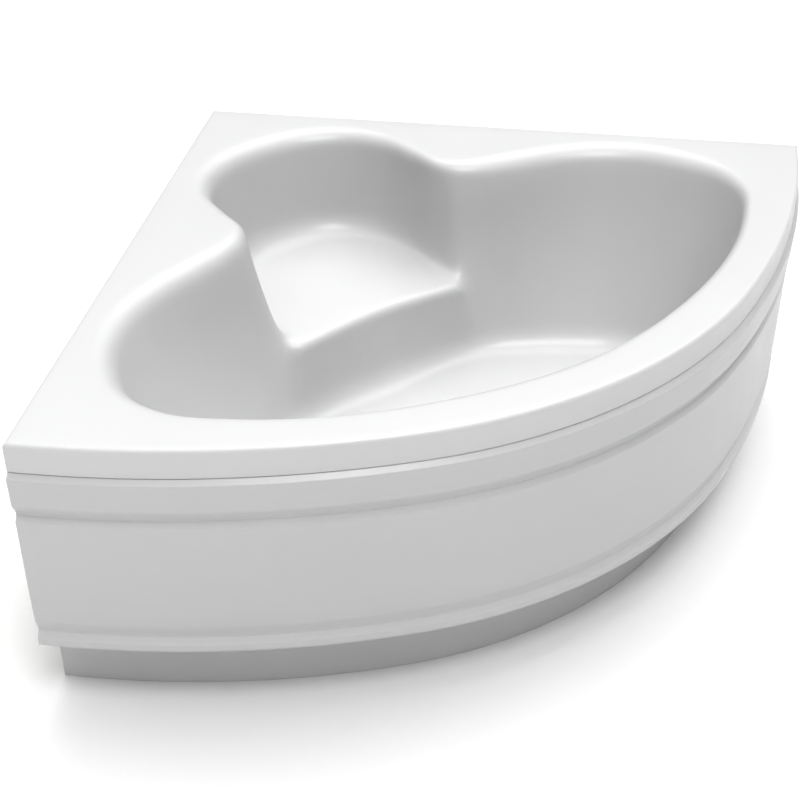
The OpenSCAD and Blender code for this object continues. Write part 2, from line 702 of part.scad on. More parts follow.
module waste_body() {
    color("whitesmoke") at_waste() difference() {
        union() {
            rotate_extrude() polygon([
                [0, body_foot], [spigot_r, body_foot], [body_wall_r, body_foot + body_cone_h],
                [body_wall_r, body_top - body_rim_t], [flange_r - washer_in, body_top - body_rim_t],
                [flange_r - washer_in, body_top], [0, body_top]
            ]);
            translate([0, 0, trap_top - spigot_in])
                cylinder(h = body_foot - trap_top + spigot_in + 2 * over, r = spigot_r);
            translate([0, 0, inlet_z]) rotate([0, 90, 0]) cylinder(h = inlet_end - waste_reach, r = hose_r);
            translate([lever_reach, body_wall_r - boss_l, pivot_z]) rotate([-90, 0, 0])
                cylinder(h = boss_l, r = 3 * lever_pin_r);
        }
        rotate_extrude() polygon([
            [0, body_foot + body_floor_t], [spigot_r - pipe_wall, body_foot + body_floor_t],
            [body_wall_r - pipe_wall, body_foot + body_floor_t + body_cone_h],
            [body_wall_r - pipe_wall, body_top + over], [0, body_top + over]
        ]);
        translate([0, 0, trap_top - spigot_in - over]) cylinder(h = 2 * spigot_in, r = spigot_r - pipe_wall);
        translate([0, 0, inlet_z]) rotate([0, 90, 0])
            cylinder(h = inlet_end - waste_reach + over, r = hose_r - pipe_wall);
        translate([lever_reach, -body_wall_r * 0.72, pivot_z]) rotate([-90, 0, 0])
            cylinder(h = 2 * body_wall_r, r = lever_pin_r + run_gap);
    }
}
// The trap and its pipe run towards the left wall
module at_trap() { at_waste() rotate([0, 0, 45]) mirror([1, 0, 0]) children(); }
module tube_bend(turn_r, from, to) {
    rotate([90, 0, 0]) rotate_extrude(angle = to - from, start = from) translate([turn_r, 0]) difference() {
        circle(r = trap_r);
        circle(r = trap_in_r);
    }
}
trap_low = pipe_z - trap_out_turn_r;
trap_out_x = 2 * trap_turn_r + trap_out_turn_r;
trap_tail = 22;
module trap_bend() {
    color("whitesmoke") at_trap() union() {
        ring(trap_r, trap_in_r, trap_low, trap_top - trap_low);
        translate([trap_turn_r, 0, trap_low]) tube_bend(trap_turn_r, 180, 360);
        translate([trap_out_x, 0, trap_low]) tube_bend(trap_out_turn_r, 90, 180);
        translate([trap_out_x, 0, pipe_z]) rotate([0, 90, 0]) ring(trap_r, trap_in_r, 0, trap_tail);
    }
}
slip_nut_t = 4;
slip_grip_t = 5.5;
module slip_nut(r_in, h) {
    difference() {
        union() {
            cylinder(h = h, r = r_in + slip_nut_t);
            cylinder(h = h * 0.55, r = r_in + slip_grip_t, $fn = 16);
        }
        translate([0, 0, -over]) cylinder(h = h + 2 * over, r = r_in);
    }
}
slip_nut_h = 18;
nut_past = 2;
module trap_inlet_nut() {
    color("whitesmoke") at_waste() translate([0, 0, trap_top - slip_nut_h])
        slip_nut(trap_r + run_gap, slip_nut_h);
}
module trap_outlet_nut() {
    color("whitesmoke") at_trap() translate([trap_out_x + trap_tail - slip_nut_h + nut_past, 0, pipe_z])
        rotate([0, 90, 0]) slip_nut(trap_r + run_gap, slip_nut_h);
}
// How far the pipe reaches into the trap's tail
pipe_in = 16;
pipe_start = trap_out_x + trap_tail - pipe_in;
pipe_end = waste_reach * diagonal_share - batten_start;
// A bead round the pipe stops it at the right depth in the socket in the wall
socket_depth = 60;
bead_w = 4;
bead_t = 2;
module outlet_pipe() {
    color("whitesmoke") at_trap() translate([pipe_start, 0, pipe_z]) rotate([0, 90, 0]) union() {
        ring(outlet_r, outlet_r - pipe_wall, 0, pipe_end - pipe_start);
        translate([0, 0, pipe_end - pipe_start - socket_depth - bead_w])
            ring(outlet_r + bead_t, outlet_r - pipe_wall / 2, 0, bead_w);
    }
}

// Overflow

gasket_t = 2;
drum_top = -wall_depth - 2 * gap - gasket_t;
// Room between the bath's wall and the hose, and behind the hose in the drum
hose_clear = 12;
drum_back = 3;
hose_off = wall_depth + hose_r + hose_clear;
drum_depth = hose_off + hose_r + drum_back + drum_top;
drum_r = 33;
neck_o_r = overflow_hole_r - neck_gap;
neck_short = 1;
// The collar clears the curve of the wall by this much at its middle
collar_z = 2;
collar_r = 32;
collar_t = 3;
collar_wall = 2;
collar_out_r = neck_o_r - pipe_wall - gap;
shaft_r = 4;
shaft_clear = 2;
shaft_back = -hose_off + hose_r - shaft_clear;
hub_in = 8;
hub_out = 2;
knob_off = 6.2;
knob_z = collar_z + knob_off;
knob_h = 13;
knob_wall = 5;
flute_out = 2;
flute_r = 3.4;
spout_drop = 48;
spout_end = -spout_drop;
module overflow_collar() {
    color("silver") at_overflow() difference() {
        union() {
            ring(collar_r, collar_out_r - collar_wall, collar_z, collar_t);
            ring(collar_out_r, collar_out_r - collar_wall, drum_top, collar_z - drum_top + over);
            translate([0, 0, -hub_in]) cylinder(h = hub_in + collar_z + hub_out, r = 2 * shaft_r);
            for (a = [0, 120, 240]) rotate([0, 0, a]) translate([0, -web_t / 2, -hub_in])
                cube([collar_out_r - collar_wall / 2, web_t, hub_in]);
        }
        translate([0, 0, -hub_in - over])
            cylinder(h = hub_in + collar_z + hub_out + 2 * over, r = shaft_r + run_gap);
    }
}
module overflow_gasket() {
    color("dimgray") at_overflow() ring(drum_r, neck_o_r + gap, -wall_depth - gap - gasket_t, gasket_t);
}
module overflow_body() {
    color("whitesmoke") at_overflow() difference() {
        union() {
            translate([0, 0, drum_top - drum_depth]) cylinder(h = drum_depth, r = drum_r);
            translate([0, 0, drum_top]) cylinder(h = -drum_top - neck_short, r = neck_o_r);
            translate([0, 0, -hose_off]) rotate([0, -90, 0]) cylinder(h = -spout_end, r = hose_r);
        }
        translate([0, 0, drum_top - drum_depth + pipe_wall])
            cylinder(h = drum_depth - 2 * pipe_wall, r = drum_r - pipe_wall);
        translate([0, 0, drum_top - 2 * pipe_wall])
            cylinder(h = -drum_top + 2 * pipe_wall, r = neck_o_r - pipe_wall);
        translate([0, 0, -hose_off]) rotate([0, -90, 0])
            cylinder(h = -spout_end + over, r = hose_r - pipe_wall);
    }
}
module overflow_knob() {
    color("silver") at_overflow() union() {
        difference() {
            translate([0, 0, knob_z]) rotate_extrude() polygon([
                [0, 0], [knob_r * 0.97, 0], [knob_r, knob_h * 0.12], [knob_r, knob_h * 0.7],
                [knob_r * 0.95, knob_h * 0.88], [knob_r * 0.84, knob_h], [0, knob_h]
            ]);
            for (a = [0 : 30 : 330]) rotate([0, 0, a]) translate([knob_r + flute_out, 0, knob_z - over])
                cylinder(h = knob_h * 0.75 + over, r = flute_r);
            translate([0, 0, knob_z - over]) cylinder(h = knob_h * 0.6 + over, r = knob_r - knob_wall);
        }
        translate([0, 0, shaft_back]) cylinder(h = knob_z + knob_h * 0.8 - shaft_back, r = shaft_r);
    }
}
crank_reach = 13;
crank_hub_t = 4;
crank_t = 3;
module knob_crank() {
    color("gainsboro") at_overflow() translate([0, 0, shaft_back - crank_hub_t]) union() {
        cylinder(h = crank_hub_t, r = 1.8 * shaft_r);
        translate([0, -shaft_r, 0]) cube([crank_reach, 2 * shaft_r, crank_t]);
        translate([crank_reach, 0, 0]) cylinder(h = crank_t, r = shaft_r);
    }
}
// The hose follows the wall down and turns in to the waste; drawn with X along the diagonal
hose_turn_r = 70;
wall_up = [sin(wall_lean), 0, cos(wall_lean)];
wall_out = [cos(wall_lean), 0, -sin(wall_lean)];
wall_foot = [front_foot[0], 0, floor_z];
turn_off = hose_off - hose_turn_r;
turn_rise = (inlet_z + hose_turn_r - floor_z + sin(wall_lean) * turn_off) / cos(wall_lean);
hose_turn = wall_foot + wall_out * turn_off + wall_up * turn_rise;
// The hose starts and ends this far from the necks it is held to
hose_end_gap = 1;
inlet_end = hose_turn[0] - hose_end_gap;
overflow_up = overflow_drop / cos(wall_lean);
overflow_place = [overflow_reach, 0, overflow_z];
hose_top = overflow_place + wall_out * hose_off + wall_up * (spout_end - hose_end_gap);
hose_leg = (hose_top - hose_turn) * wall_up;
rib_count = floor(hose_leg / hose_pitch);
hose_rib = 2;
hose_wall = 2;
hose_core = hose_r - hose_rib;
hose_bore = hose_core - hose_wall;
// The ribbed leg's foot is a slightly wider cuff that laps over the bend
cuff_lap = 1.5;
cuff_step = 0.5;
module ribbed_leg(l, n, r_rib, r_core, r_bore) {
    p = l / n;
    rotate_extrude() polygon(concat(
        [[r_bore + cuff_step, cuff_lap], [r_bore + cuff_step, -cuff_lap]],
        [[r_core + cuff_step, -cuff_lap], [r_core + cuff_step, cuff_lap]],
        [for (i = [0 : n - 1]) each [
            [r_core, i == 0 ? cuff_lap : i * p], [r_core, (i + 0.35) * p],
            [r_rib, (i + 0.55) * p], [r_rib, (i + 0.8) * p]
        ]],
        [[r_core, l], [r_bore, l], [r_bore, cuff_lap]]
    ));
}
module overflow_hose() {
    turn = 90 - wall_lean;
    color("whitesmoke") on_diagonal() union() {
        translate(hose_turn + wall_out * hose_turn_r) rotate([0, wall_lean, 0])
            ribbed_leg(hose_leg, rib_count, hose_r, hose_core, hose_bore);
        translate(hose_turn) rotate([90, 0, 0]) rotate_extrude(angle = turn, start = -90)
            translate([hose_turn_r, 0]) difference() {
                circle(r = hose_core);
                circle(r = hose_bore);
            }
    }
}
hose_nut_in = 8;
inlet_nut_in = 10;
module hose_nut_top() {
    color("whitesmoke") at_overflow() translate([spout_end + hose_nut_in, 0, -hose_off]) rotate([0, -90, 0])
        slip_nut(hose_r + run_gap, slip_nut_h);
}
module hose_nut_bottom() {
    color("whitesmoke") at_waste() translate([inlet_end - waste_reach - inlet_nut_in, 0, inlet_z])
        rotate([0, 90, 0]) slip_nut(hose_r + run_gap, slip_nut_h);
}
// The control cable runs beside the hose from the drum to the waste
cable_r = 2.5;
cable_gap = 7;
cable_in = 12;
cable_stop = 6;
cable_across = body_wall_r + cable_gap;
cable_turn_r = hose_turn_r - cable_in;
cable_top = -drum_r * 0.75;
cable_end = waste_reach + lever_reach + cable_stop;
module control_cable() {
    turn = 90 - wall_lean;
    leg = (overflow_place + wall_up * cable_top - hose_turn) * wall_up;
    start = hose_turn + wall_out * cable_turn_r;
    color("dimgray") on_diagonal() translate([0, cable_across, 0]) union() {
        translate(start - wall_up * cuff_lap) rotate([0, wall_lean, 0])
            cylinder(h = leg + cuff_lap, r = cable_r);
        translate(hose_turn) rotate([90, 0, 0]) rotate_extrude(angle = turn, start = -90)
            translate([cable_turn_r, 0]) circle(r = cable_r * 0.9);
        translate([cable_end, 0, hose_turn[2] - cable_turn_r]) rotate([0, 90, 0])
            cylinder(h = hose_turn[0] - cable_end + cuff_lap, r = cable_r);
        translate(start + wall_up * (leg - 2 * cable_r)) rotate([0, wall_lean, 0]) rotate([90, 0, 0])
            cylinder(h = cable_across - drum_r * 0.7, r = cable_r * 0.8);
    }
}

// Plug

plug_z = flange_z + flange_t + gap;
seal_t = 2;
seal_in = 3;
plug_h = 6;
module plug_seal() { color("black") at_waste() ring(plug_r - seal_in, neck_in_r - seal_in, plug_z, seal_t); }
module plug_cap() {
    color("silver") at_waste() translate([0, 0, plug_z + seal_t]) rotate_extrude() polygon([
        [0, 0], [plug_r * 0.97, 0], [plug_r, plug_h * 0.17], [plug_r, plug_h * 0.42],
        [plug_r * 0.92, plug_h * 0.67], [plug_r * 0.7, plug_h * 0.87], [plug_r * 0.35, plug_h * 0.97], [0, plug_h]
    ]);
}
module plug_stem() {
    color("gainsboro") at_waste() translate([0, 0, stem_foot])
        cylinder(h = plug_z + seal_t - stem_foot, r = stem_r);
}
// The lever lies below the stem and turns on its pin
pin_out = 5;
pin_l = body_wall_r + pin_out;
lever_w = 4;
tab_t = 3;
tab_h = 14;
tab_up = 2;
module lift_lever() {
    color("gainsboro") at_waste() translate([lever_reach, 0, pivot_z]) union() {
        rotate([-90, 0, 0]) cylinder(h = pin_l, r = lever_pin_r);
        rotate([90, 0, 0]) cylinder(h = body_wall_r * 0.6, r = lever_pin_r);
        rotate([0, -lever_angle, 0]) {
            translate([-lever_reach, -lever_w / 2, -lever_tip_r])
                cube([lever_reach, lever_w, lever_tip_r * 0.8]);
            translate([-lever_reach, lever_w / 2, 0]) rotate([90, 0, 0]) cylinder(h = lever_w, r = lever_tip_r);
        }
        translate([-lever_w / 2, pin_l - tab_t, tab_up - tab_h]) cube([lever_w, tab_t, tab_h]);
    }
}

// Front panel

function cove(a, b) = [for (u = [0.2 : 0.2 : 1]) [
    a[0] + (b[0] - a[0]) * (1 - cos(180 * u)) / 2,
    a[1] + (b[1] - a[1]) * u
]];
panel_top = skirt_z - panel_top_gap;
flange_in = 26;
lip_r = 8;
panel_under = toe_height;
middle_z = rim_height - middle_ledge_drop;
lower_z = toe_height + lower_lip_h;
// The upper band leans in below the top ledge and ends in a cove over the middle ledge
top_flat_in = 2;
top_edge_in = 0.6;
ledge_edge_h = 12;
upper_foot_in = 2;
middle_cove_in = 5;
middle_cove_h = 32;
// The main band ends in a cove over the lower lip
middle_edge_h = 14;
main_foot_out = 2;
main_foot_h = 60;
lower_cove_in = 7;
lower_cove_h = 36;
// The lip stands out from the rim
lip_out = 2;
ledge_drip = 2;
lip_drip = 3;
// Outer line of the panel, from the top flange down to the toe.
// Each pair is the distance out from the rim and the height.
panel_line = concat(
    [[-flange_in, panel_top], [-top_flat_in, panel_top], [ledge_out, panel_top - ledge_fall]],
    [[ledge_out - top_edge_in, panel_top - ledge_fall - ledge_edge_h]],
    [[ledge_out - upper_foot_in, middle_z + middle_cove_h]],
    cove([ledge_out - upper_foot_in, middle_z + middle_cove_h], [-middle_cove_in, middle_z]),
    [[ledge_w * 0.8 - middle_cove_in, middle_z - ledge_fall - ledge_drip]],
    [[ledge_w * 0.75 - middle_cove_in, middle_z - ledge_fall - middle_edge_h]],
    [[main_foot_out, lower_z + main_foot_h], [0, lower_z + lower_cove_h]],
    cove([0, lower_z + lower_cove_h], [-lower_cove_in, lower_z]),
    [[lip_out, lower_z - ledge_fall - lip_drip]],
    [for (a = [0 : 22.5 : 90]) [lip_out - lip_r * (1 - cos(a)), panel_under + lip_r * (1 - sin(a))]],
    [[-toe_recess, panel_under], [-toe_recess, 0]]
);
function turn_right(a, b) = let (d = unit(b - a)) [d[1], -d[0]];
function inward(i, t) =
    let (
        n = len(panel_line),
        p = panel_line[i],
        m = i == 0 ? turn_right(p, panel_line[1]) : turn_right(panel_line[i - 1], p),
        k = i == n - 1 ? m : turn_right(p, panel_line[i + 1])
    )
    p + (m + k) / (1 + m * k) * t;
module panel_section() {
    polygon(concat(panel_line, [for (i = [len(panel_line) - 1 : -1 : 0]) inward(i, panel_t)]));
}
rib_t = 4;
rib_depth = 20;
// A rib keeps this far from the coves and ledges, and its outer edge this far inside the face
rib_clear = 12;
rib_in = 3.5;
// Each rib behind a seam: its outer edge off the rim, its foot and its top
panel_ribs = [
    [0, lower_z + lower_cove_h + rib_clear, middle_z - ledge_fall - middle_edge_h - rib_clear],
    [ledge_out - rib_in, middle_z + middle_cove_h + rib_clear, panel_top - ledge_fall - ledge_edge_h - panel_t],
    [-toe_recess - panel_t / 2, rib_clear, panel_under - rib_clear]
];
module front_panel() {
    color("white") union() {
        along_front() panel_section();
        for (a = [-join_angle, join_angle], r = panel_ribs)
            on_diagonal() translate([mid_centre, 0, 0]) rotate([0, 0, a])
                translate([mid_arc_r + r[0] - rib_depth, -rib_t / 2, r[1]])
                    cube([rib_depth, rib_t, r[2] - r[1]]);
    }
}
panel_batten_w = 20;
panel_batten_reach = 13;
panel_batten_out = 12;
strike_side = 1;
strike_end = 4;
module panel_batten() {
    color("burlywood") along_front_middle(panel_batten_reach)
        translate([-panel_batten_w - panel_batten_out, panel_top - panel_t - batten_w - gap])
            square([panel_batten_w, batten_w]);
}
module strike_plates() {
    color("gainsboro") at_catches() translate([-strike_side, -magnet_l / 2 - strike_end, panel_top])
        cube([magnet_w + 2 * strike_side, magnet_l + 2 * strike_end, strike_t]);
}

bath_shell();
glassfibre_backing();
base_board();
seat_board();
rim_batten_left();
rim_batten_back();
rim_batten_front();
spine_rail();
cross_rail_left();
cross_rail_right();
front_arm_left();
front_arm_right();
corner_post();
left_post();
right_post();
front_strut_left();
front_strut_right();
seat_strut();
board_screws();
weld_nuts();
lock_nuts();
magnet_catches();
wall_hanger_left();
wall_hanger_back();
waste_flange();
waste_top_washer();
waste_bottom_washer();
waste_body();
trap_inlet_nut();
trap_bend();
trap_outlet_nut();
outlet_pipe();
overflow_collar();
overflow_gasket();
overflow_body();
hose_nut_top();
overflow_hose();
hose_nut_bottom();
control_cable();
front_panel();
panel_batten();
strike_plates();
overflow_knob();
knob_crank();
plug_cap();
plug_stem();
plug_seal();
lift_lever();
foot_stud_corner();
foot_stud_left();
foot_stud_right();
foot_stud_seat();
foot_stud_front_left();
foot_stud_front_right();
foot_pad_corner();
foot_pad_left();
foot_pad_right();
foot_pad_seat();
foot_pad_front_left();
foot_pad_front_right();
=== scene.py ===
"""Acrylic corner bathtub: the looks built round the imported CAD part.

Shapes are worked out in millimetres in the diagonal frame: s runs from the wall corner to the front,
t across it. to_row_frame turns them into metres in the part's own frame.
"""

import math

import bpy
import numpy as np
from mathutils import Matrix, Vector


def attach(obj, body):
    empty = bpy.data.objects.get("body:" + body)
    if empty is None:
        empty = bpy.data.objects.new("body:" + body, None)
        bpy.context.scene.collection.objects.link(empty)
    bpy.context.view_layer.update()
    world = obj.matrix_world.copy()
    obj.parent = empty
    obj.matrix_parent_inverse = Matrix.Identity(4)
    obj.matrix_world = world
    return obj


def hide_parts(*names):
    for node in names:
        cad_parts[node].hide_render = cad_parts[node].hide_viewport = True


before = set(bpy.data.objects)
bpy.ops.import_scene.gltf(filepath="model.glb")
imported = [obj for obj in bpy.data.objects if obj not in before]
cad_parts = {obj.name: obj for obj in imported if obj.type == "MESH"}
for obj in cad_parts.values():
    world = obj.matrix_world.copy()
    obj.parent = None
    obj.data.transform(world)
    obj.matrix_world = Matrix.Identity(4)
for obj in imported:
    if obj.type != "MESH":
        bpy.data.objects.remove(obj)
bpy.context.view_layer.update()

# -------------------------------------------------- sizes, as in part.scad, in millimetres
MM = 1000.0             # millimetres in a metre
SIDE = 1400.0
BULGE = 68.0            # how far the front's middle lies beyond a quarter circle
END_ANGLE = 21.8        # degrees that each end arc of the front turns through
WALL_TURN = 45          # degrees between the diagonal and a wall
RIM_Z = 615.0
DEPTH = 420.0
SEAT_DROP = 236.0
SKIRT = 59.0            # height of the downturned edge
SHEET = 5.0
BACKING = 5.0
GAP = 0.3               # between pieces that lie on each other
ROLL = 40.0
FLOOR_ROLL = 60.0
SEAT_ROLL = 24.0        # rounding of the seat's front edge
SEAT_COVE = 62.0        # rounding at the seat's back
EDGE_R = 8.0            # rounding between deck and downturned edge
PANEL_T = 4.0
PANEL_GAP = 1.0         # between the downturned edge and the panel
LEDGE_OUT = 9.0
LEDGE_W = 11.0
LEDGE_FALL = 9.0
MID_LEDGE_Z = 460.0
LOW_LEDGE_Z = 187.0
TOE_H = 154.0
TOE_IN = 80.0
WASTE_S = 1185.0
WASTE_R = 27.0
OVERFLOW_DROP = 95.0
OVERFLOW_R = 27.0

R2 = math.sqrt(0.5)
HALF = (SIDE + LEDGE_OUT) / 2
FLOOR_Z = RIM_Z - DEPTH
SEAT_Z = RIM_Z - SEAT_DROP
SKIRT_Z = RIM_Z - SKIRT

# The front: an end arc at each wall, tangent to a tighter arc in the middle
end_turn = math.radians(END_ANGLE)
wall_turn = math.radians(WALL_TURN)
ARC_GAP = BULGE / (math.sqrt(2) * math.sin(end_turn) + math.cos(end_turn) - math.sin(end_turn) - 1)
END_R = SIDE + ARC_GAP * (math.cos(end_turn) - math.sin(end_turn))
MID_R = END_R - ARC_GAP
MID_C = ARC_GAP * math.sin(end_turn) * math.sqrt(2)
END_C = (SIDE - END_R) * R2
JOIN = math.radians(WALL_TURN - END_ANGLE)

# Corners of the well's section at stations round its right half, as shares of the side
TOP = [
    (0.174, 0), (0.183, 0.070), (0.219, 0.131), (0.275, 0.167), (0.339, 0.176), (0.397, 0.180),
    (0.429, 0.203), (0.452, 0.246), (0.469, 0.307), (0.488, 0.374), (0.520, 0.438), (0.571, 0.491),
    (0.632, 0.523), (0.697, 0.535), (0.768, 0.510), (0.828, 0.448), (0.878, 0.375), (0.918, 0.294),
    (0.950, 0.203), (0.973, 0.103), (0.982, 0),
]
FLOOR = [
    (0.516, 0), (0.514, 0.036), (0.513, 0.071), (0.513, 0.107), (0.515, 0.139), (0.520, 0.168),
    (0.531, 0.194), (0.545, 0.222), (0.566, 0.254), (0.592, 0.289), (0.621, 0.326), (0.652, 0.364),
    (0.691, 0.392), (0.736, 0.400), (0.777, 0.381), (0.811, 0.340), (0.839, 0.284), (0.866, 0.219),
    (0.893, 0.148), (0.913, 0.075), (0.920, 0),
]
SEAT_BACK = [
    (0.222, 0), (0.228, 0.054), (0.252, 0.104), (0.294, 0.141), (0.348, 0.161), (0.408, 0.170),
    (0.459, 0.184),
]
SEAT_FRONT = [
    (0.493, 0), (0.494, 0.032), (0.497, 0.064), (0.501, 0.096), (0.505, 0.124), (0.507, 0.152),
    (0.500, 0.183),
]
BACK_RISE = [0.02, 0.02, 0.02, 0.02, 0.02, 0.06, 0.35]            # shares of the seat's drop
FRONT_RISE = [-0.02, -0.02, -0.02, -0.02, -0.02, -0.03, -0.12]
ROLLS = [                                                         # shares of ROLL
    1.1, 1.1, 1.0, 0.9, 0.8, 0.78, 0.82, 0.95, 1.05, 1.0, 0.95, 0.9, 0.9, 0.75, 0.6, 0.52, 0.5, 0.5,
    0.5, 0.5, 0.5,
]
WALL_UPPER = 0.5        # where the section's two middle corners sit on a wall without a seat
WALL_LOWER = 0.64
WALL_STEPS = 13         # stations along a wall; the rest follow the front
STEPS = len(TOP) - 1
SEAT_STEPS = len(SEAT_BACK) - 1

# -------------------------------------------------- fineness of the meshes
FINE = 12                  # points a station
END_STATIONS = 72         # along an end arc of the panel
MID_STATIONS = 64         # along half of its middle arc
ROLL_ROWS = 11          # rows over the rim's roll, and over the floor's
COVE_ROWS = 10
SEAT_EDGE_ROWS = 8
WALL_ROWS = 12          # rows between two roundings
RISER_ROWS = 8
EDGE_ROWS = 9
DECK_ROWS = 3
COVE_POINTS = 8
LIP_POINTS = 9
EASE_STEPS = 5
HOLE_SIDES = 64

LINE_SHARE = 0.45       # the most of a line that the rounding at its end may take
GUIDE_REACH = 2         # how far the deck's and the floor's guide lines run, in roundings
SHEET_CREASE = 38.0     # degrees above which an edge stays sharp
PANEL_CREASE = 30.0


# -------------------------------------------------- the well, by the same rules as part.scad
def rim_corner(i):
    return np.array([TOP[i][0] * SIDE, TOP[i][1] * SIDE, RIM_Z])


def floor_corner(i):
    return np.array([FLOOR[i][0] * SIDE, FLOOR[i][1] * SIDE, FLOOR_Z])


def seat_corner(i, places, rises, share):
    """A corner of the seat, or of the plain wall at stations past the seat."""
    if i > SEAT_STEPS:
        return rim_corner(i) + (floor_corner(i) - rim_corner(i)) * share
    return np.array([places[i][0] * SIDE, places[i][1] * SIDE, SEAT_Z + rises[i] * SEAT_DROP])


def both(half):
    """The whole round of a row that is given for its right half."""
    half = np.array(half, float)
    if half.ndim == 1:
        return np.concatenate([half, half[-2:0:-1]])
    back = half[-2:0:-1].copy()
    back[:, 1] *= -1
    return np.concatenate([half, back])


def smooth_loop(half):
    """A closed smooth curve through the stations, FINE points a station."""
    c = both(half)
    a, b, d, e = np.roll(c, 1, 0), c, np.roll(c, -1, 0), np.roll(c, -2, 0)
    out = []
    for k in range(FINE):
        u = k / FINE
        out.append(0.5 * (2 * b + (d - a) * u + (2 * a - 5 * b + 4 * d - e) * u * u
                          + (3 * b - a - 3 * d + e) * u ** 3))
    out = np.stack(out, 1)
    return out.reshape((-1,) + c.shape[1:])


stations = range(STEPS + 1)
rim_loop = smooth_loop([rim_corner(i) for i in stations])
seat_back_loop = smooth_loop([seat_corner(i, SEAT_BACK, BACK_RISE, WALL_UPPER) for i in stations])
seat_front_loop = smooth_loop([seat_corner(i, SEAT_FRONT, FRONT_RISE, WALL_LOWER) for i in stations])
floor_loop = smooth_loop([floor_corner(i) for i in stations])
roll_loop = smooth_loop([share * ROLL for share in ROLLS])


def unit(v):
    return v / np.maximum(np.linalg.norm(v, axis=-1, keepdims=True), 1e-12)


def level(v):
    """Unit vectors of v laid flat."""
    w = v.copy()
    w[:, 2] = 0
    return unit(w)


def soft(a, b, c, r, us):
    """Rows of a soft corner at b between the lines to a and c, starting r from it."""
    r = np.broadcast_to(np.asarray(r, float).reshape(-1, 1), (len(b), 1))
    p = b + unit(a - b) * r
    q = b + unit(c - b) * r
    return [p * (1 - u) ** 2 + b * 2 * u * (1 - u) + q * u * u for u in us]


def line_rows(p, q, n):
    """Rows between p and q, both left out."""
    return [p + (q - p) * k / (n + 1) for k in range(1, n + 1)]


def section_rows():
    """Rows of the well's face, from the deck over the rim and the seat to the flat of the floor."""
    a, b, c, d = rim_loop, seat_back_loop, seat_front_loop, floor_loop
    mid = np.array([MID_C + MID_R / 2, 0, FLOOR_Z])
    out = a + level(a - b) * ROLL * GUIDE_REACH
    inner = d + level(mid - d) * FLOOR_ROLL * GUIDE_REACH
    room = np.linalg.norm(c - b, axis=1) * LINE_SHARE
    roll_us = np.linspace(0, 1, ROLL_ROWS)
    rim = soft(out, a, b, roll_loop, roll_us)
    seat_cove = soft(a, b, c, np.minimum(SEAT_COVE, room), np.linspace(0, 1, COVE_ROWS))
    seat_edge = soft(b, c, d, np.minimum(SEAT_ROLL, room), np.linspace(0, 1, SEAT_EDGE_ROWS))
    foot = soft(c, d, inner, FLOOR_ROLL, roll_us)
    return (rim + line_rows(rim[-1], seat_cove[0], WALL_ROWS)
            + seat_cove + line_rows(seat_cove[-1], seat_edge[0], RISER_ROWS)
            + seat_edge + line_rows(seat_edge[-1], foot[0], RISER_ROWS) + foot)


def grid_normals(rows):
    """Unit normals of a grid of closed rows, pointing to the bather's side."""
    g = np.array(rows)
    du = np.roll(g, -1, 1) - np.roll(g, 1, 1)
    dv = np.empty_like(g)
    dv[1:-1] = g[2:] - g[:-2]
    dv[0] = g[1] - g[0]
    dv[-1] = g[-1] - g[-2]
    n = unit(np.cross(dv, du))
    n[0] = n[-1] = (0, 0, 1)
    return n


def front_angle(share):
    """The turn from the diagonal at a share of the way from a wall to the front's middle."""
    end_len = END_R * end_turn
    mid_len = MID_R * JOIN
    s = share * (end_len + mid_len)
    if s <= end_len:
        return wall_turn - s / END_R
    return JOIN - (s - end_len) / MID_R


def front_point(a, off):
    if a >= JOIN:
        return END_C + (END_R + off) * math.cos(a), END_C + (END_R + off) * math.sin(a)
    return MID_C + (MID_R + off) * math.cos(a), (MID_R + off) * math.sin(a)


def rim_row(d, z):
    """A row round the bath's outline, d inside it, with the stations of the well's rows."""
    n, m = STEPS * FINE, WALL_STEPS * FINE
    pts = [(d * math.sqrt(2), 0, z)]
    for i in range(1, n + 1):
        if i <= m:
            x = d + (SIDE - 2 * d) * i / m
            p = ((x + d) * R2, (x - d) * R2)
        else:
            p = front_point(front_angle((i - m) / (n - m)), -d)
        pts.append((p[0], p[1], z))
    return both(pts)


def to_row_frame(pts):
    """Diagonal millimetres to the row frame in metres."""
    pts = np.asarray(pts, float)
    s, t, z = pts[..., 0], pts[..., 1], pts[..., 2]
    return np.stack([(s + t) * R2 - HALF, (t - s) * R2 + HALF, z], -1) / MM


def mesh_object(name, verts, faces, crease):
    """An object of a mesh that is smooth up to crease degrees, or all smooth."""
    me = bpy.data.meshes.new(name)
    me.from_pydata([tuple(v) for v in verts], [], faces)
    me.validate()
    me.update()
    me.shade_smooth()
    if crease is not None:
        me.set_sharp_from_angle(angle=math.radians(crease))
    ob = bpy.data.objects.new(name, me)
    bpy.context.scene.collection.objects.link(ob)
    return ob


def ring_rows_mesh(name, rows):
    """A closed surface through rows of equally many points, each row a closed ring."""
    n = len(rows[0])
    faces = []
    for k in range(len(rows)):
        m = (k + 1) % len(rows)
        for j in range(n):
            i = (j + 1) % n
            faces.append((k * n + j, k * n + i, m * n + i, m * n + j))
    return mesh_object(name, to_row_frame(np.concatenate(rows)), faces, SHEET_CREASE)


